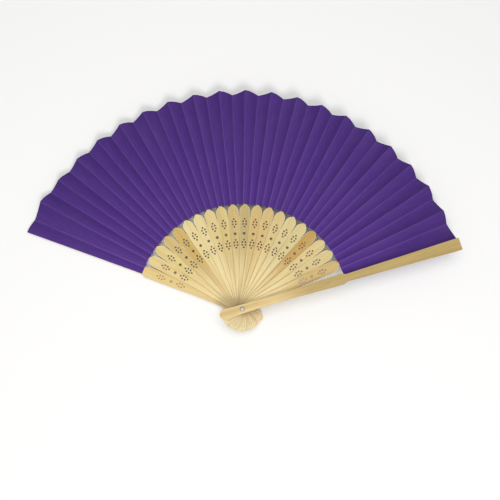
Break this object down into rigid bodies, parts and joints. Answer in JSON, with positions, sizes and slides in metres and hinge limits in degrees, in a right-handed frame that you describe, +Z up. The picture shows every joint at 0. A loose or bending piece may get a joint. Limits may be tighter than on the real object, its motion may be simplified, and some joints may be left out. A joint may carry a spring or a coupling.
{
  "type": "folding fan",
  "caption": "Open folding fan: pierced pale wood ribs between guard sticks, turning on a rivet, with a pleated purple leaf that folds with them.",
  "frame": {"origin": "centre of the open fan's bounding box, on the surface that it lies on", "axes": "+X towards the front guard's side, +Y from the rivet along the middle of the open fan, +Z up along the rivet"},
  "size_m": [0.3644, 0.2069, 0.0254],
  "materials": {
    "rib_bamboo": "satin, smoothed",
    "guard_bamboo": "satin, smoothed",
    "leaf": "matte",
    "rivet_metal": "polished"
  },
  "bodies": {
    "back_guard": {"back_guard": "guard_bamboo", "leaf_20": "leaf", "rivet_pin": "rivet_metal", "rivet_cap": "rivet_metal"},
    "rib_19": {"rib_19": "rib_bamboo", "leaf_19": "leaf"},
    "rib_18": {"rib_18": "rib_bamboo", "leaf_18": "leaf"},
    "rib_17": {"rib_17": "rib_bamboo", "leaf_17": "leaf"},
    "rib_16": {"rib_16": "rib_bamboo", "leaf_16": "leaf"},
    "rib_15": {"rib_15": "rib_bamboo", "leaf_15": "leaf"},
    "rib_14": {"rib_14": "rib_bamboo", "leaf_14": "leaf"},
    "rib_13": {"rib_13": "rib_bamboo", "leaf_13": "leaf"},
    "rib_12": {"rib_12": "rib_bamboo", "leaf_12": "leaf"},
    "rib_11": {"rib_11": "rib_bamboo", "leaf_11": "leaf"},
    "rib_10": {"rib_10": "rib_bamboo", "leaf_10": "leaf"},
    "rib_09": {"rib_09": "rib_bamboo", "leaf_09": "leaf"},
    "rib_08": {"rib_08": "rib_bamboo", "leaf_08": "leaf"},
    "rib_07": {"rib_07": "rib_bamboo", "leaf_07": "leaf"},
    "rib_06": {"rib_06": "rib_bamboo", "leaf_06": "leaf"},
    "rib_05": {"rib_05": "rib_bamboo", "leaf_05": "leaf"},
    "rib_04": {"rib_04": "rib_bamboo", "leaf_04": "leaf"},
    "rib_03": {"rib_03": "rib_bamboo", "leaf_03": "leaf"},
    "rib_02": {"rib_02": "rib_bamboo", "leaf_02": "leaf"},
    "rib_01": {"rib_01": "rib_bamboo", "leaf_01": "leaf"},
    "front_guard": {"front_guard": "guard_bamboo", "leaf_00": "leaf"}
  },
  "joints": [
    {"name": "rib_19_turn", "type": "hinge", "parent": "back_guard", "child": "rib_19", "pos_m": [0, -0.0855, 0.012], "axis": [0, 0, 1], "range_deg": [0, 7.23], "deforming": ["leaf_19"]},
    {"name": "rib_18_turn", "type": "hinge", "parent": "rib_19", "child": "rib_18", "pos_m": [0, -0.0855, 0.012], "axis": [0, 0, 1], "range_deg": [0, 7.18], "deforming": ["leaf_18"]},
    {"name": "rib_17_turn", "type": "hinge", "parent": "rib_18", "child": "rib_17", "pos_m": [0, -0.0855, 0.012], "axis": [0, 0, 1], "range_deg": [0, 7.11], "deforming": ["leaf_17"]},
    {"name": "rib_16_turn", "type": "hinge", "parent": "rib_17", "child": "rib_16", "pos_m": [0, -0.0855, 0.012], "axis": [0, 0, 1], "range_deg": [0, 7.06], "deforming": ["leaf_16"]},
    {"name": "rib_15_turn", "type": "hinge", "parent": "rib_16", "child": "rib_15", "pos_m": [0, -0.0855, 0.012], "axis": [0, 0, 1], "range_deg": [0, 7.01], "deforming": ["leaf_15"]},
    {"name": "rib_14_turn", "type": "hinge", "parent": "rib_15", "child": "rib_14", "pos_m": [0, -0.0855, 0.012], "axis": [0, 0, 1], "range_deg": [0, 6.97], "deforming": ["leaf_14"]},
    {"name": "rib_13_turn", "type": "hinge", "parent": "rib_14", "child": "rib_13", "pos_m": [0, -0.0855, 0.012], "axis": [0, 0, 1], "range_deg": [0, 6.94], "deforming": ["leaf_13"]},
    {"name": "rib_12_turn", "type": "hinge", "parent": "rib_13", "child": "rib_12", "pos_m": [0, -0.0855, 0.012], "axis": [0, 0, 1], "range_deg": [0, 6.92], "deforming": ["leaf_12"]},
    {"name": "rib_11_turn", "type": "hinge", "parent": "rib_12", "child": "rib_11", "pos_m": [0, -0.0855, 0.012], "axis": [0, 0, 1], "range_deg": [0, 6.9], "deforming": ["leaf_11"]},
    {"name": "rib_10_turn", "type": "hinge", "parent": "rib_11", "child": "rib_10", "pos_m": [0, -0.0855, 0.012], "axis": [0, 0, 1], "range_deg": [0, 6.9], "deforming": ["leaf_10"]},
    {"name": "rib_09_turn", "type": "hinge", "parent": "rib_10", "child": "rib_09", "pos_m": [0, -0.0855, 0.012], "axis": [0, 0, 1], "range_deg": [0, 6.9], "deforming": ["leaf_09"]},
    {"name": "rib_08_turn", "type": "hinge", "parent": "rib_09", "child": "rib_08", "pos_m": [0, -0.0855, 0.012], "axis": [0, 0, 1], "range_deg": [0, 6.92], "deforming": ["leaf_08"]},
    {"name": "rib_07_turn", "type": "hinge", "parent": "rib_08", "child": "rib_07", "pos_m": [0, -0.0855, 0.012], "axis": [0, 0, 1], "range_deg": [0, 6.94], "deforming": ["leaf_07"]},
    {"name": "rib_06_turn", "type": "hinge", "parent": "rib_07", "child": "rib_06", "pos_m": [0, -0.0855, 0.012], "axis": [0, 0, 1], "range_deg": [0, 6.97], "deforming": ["leaf_06"]},
    {"name": "rib_05_turn", "type": "hinge", "parent": "rib_06", "child": "rib_05", "pos_m": [0, -0.0855, 0.012], "axis": [0, 0, 1], "range_deg": [0, 7.01], "deforming": ["leaf_05"]},
    {"name": "rib_04_turn", "type": "hinge", "parent": "rib_05", "child": "rib_04", "pos_m": [0, -0.0855, 0.012], "axis": [0, 0, 1], "range_deg": [0, 7.06], "deforming": ["leaf_04"]},
    {"name": "rib_03_turn", "type": "hinge", "parent": "rib_04", "child": "rib_03", "pos_m": [0, -0.0855, 0.012], "axis": [0, 0, 1], "range_deg": [0, 7.11], "deforming": ["leaf_03"]},
    {"name": "rib_02_turn", "type": "hinge", "parent": "rib_03", "child": "rib_02", "pos_m": [0, -0.0855, 0.012], "axis": [0, 0, 1], "range_deg": [0, 7.18], "deforming": ["leaf_02"]},
    {"name": "rib_01_turn", "type": "hinge", "parent": "rib_02", "child": "rib_01", "pos_m": [0, -0.0855, 0.012], "axis": [0, 0, 1], "range_deg": [0, 7.25], "deforming": ["leaf_01"]},
    {"name": "front_guard_turn", "type": "hinge", "parent": "rib_01", "child": "front_guard", "pos_m": [0, -0.0855, 0.012], "axis": [0, 0, 1], "range_deg": [0, 8.47], "deforming": ["leaf_00"]}
  ],
  "couplings": [
    {"joint": "rib_18_turn", "follows": "rib_19_turn", "ratio": 0.98984},
    {"joint": "rib_17_turn", "follows": "rib_19_turn", "ratio": 0.98088},
    {"joint": "rib_16_turn", "follows": "rib_19_turn", "ratio": 0.97311},
    {"joint": "rib_15_turn", "follows": "rib_19_turn", "ratio": 0.96653},
    {"joint": "rib_14_turn", "follows": "rib_19_turn", "ratio": 0.96115},
    {"joint": "rib_13_turn", "follows": "rib_19_turn", "ratio": 0.95697},
    {"joint": "rib_12_turn", "follows": "rib_19_turn", "ratio": 0.95398},
    {"joint": "rib_11_turn", "follows": "rib_19_turn", "ratio": 0.95219},
    {"joint": "rib_10_turn", "follows": "rib_19_turn", "ratio": 0.95159},
    {"joint": "rib_09_turn", "follows": "rib_19_turn", "ratio": 0.95219},
    {"joint": "rib_08_turn", "follows": "rib_19_turn", "ratio": 0.95398},
    {"joint": "rib_07_turn", "follows": "rib_19_turn", "ratio": 0.95697},
    {"joint": "rib_06_turn", "follows": "rib_19_turn", "ratio": 0.96115},
    {"joint": "rib_05_turn", "follows": "rib_19_turn", "ratio": 0.96653},
    {"joint": "rib_04_turn", "follows": "rib_19_turn", "ratio": 0.97311},
    {"joint": "rib_03_turn", "follows": "rib_19_turn", "ratio": 0.98088},
    {"joint": "rib_02_turn", "follows": "rib_19_turn", "ratio": 0.98984},
    {"joint": "rib_01_turn", "follows": "rib_19_turn", "ratio": 1},
    {"joint": "front_guard_turn", "follows": "rib_19_turn", "ratio": 1.1687}
  ]
}
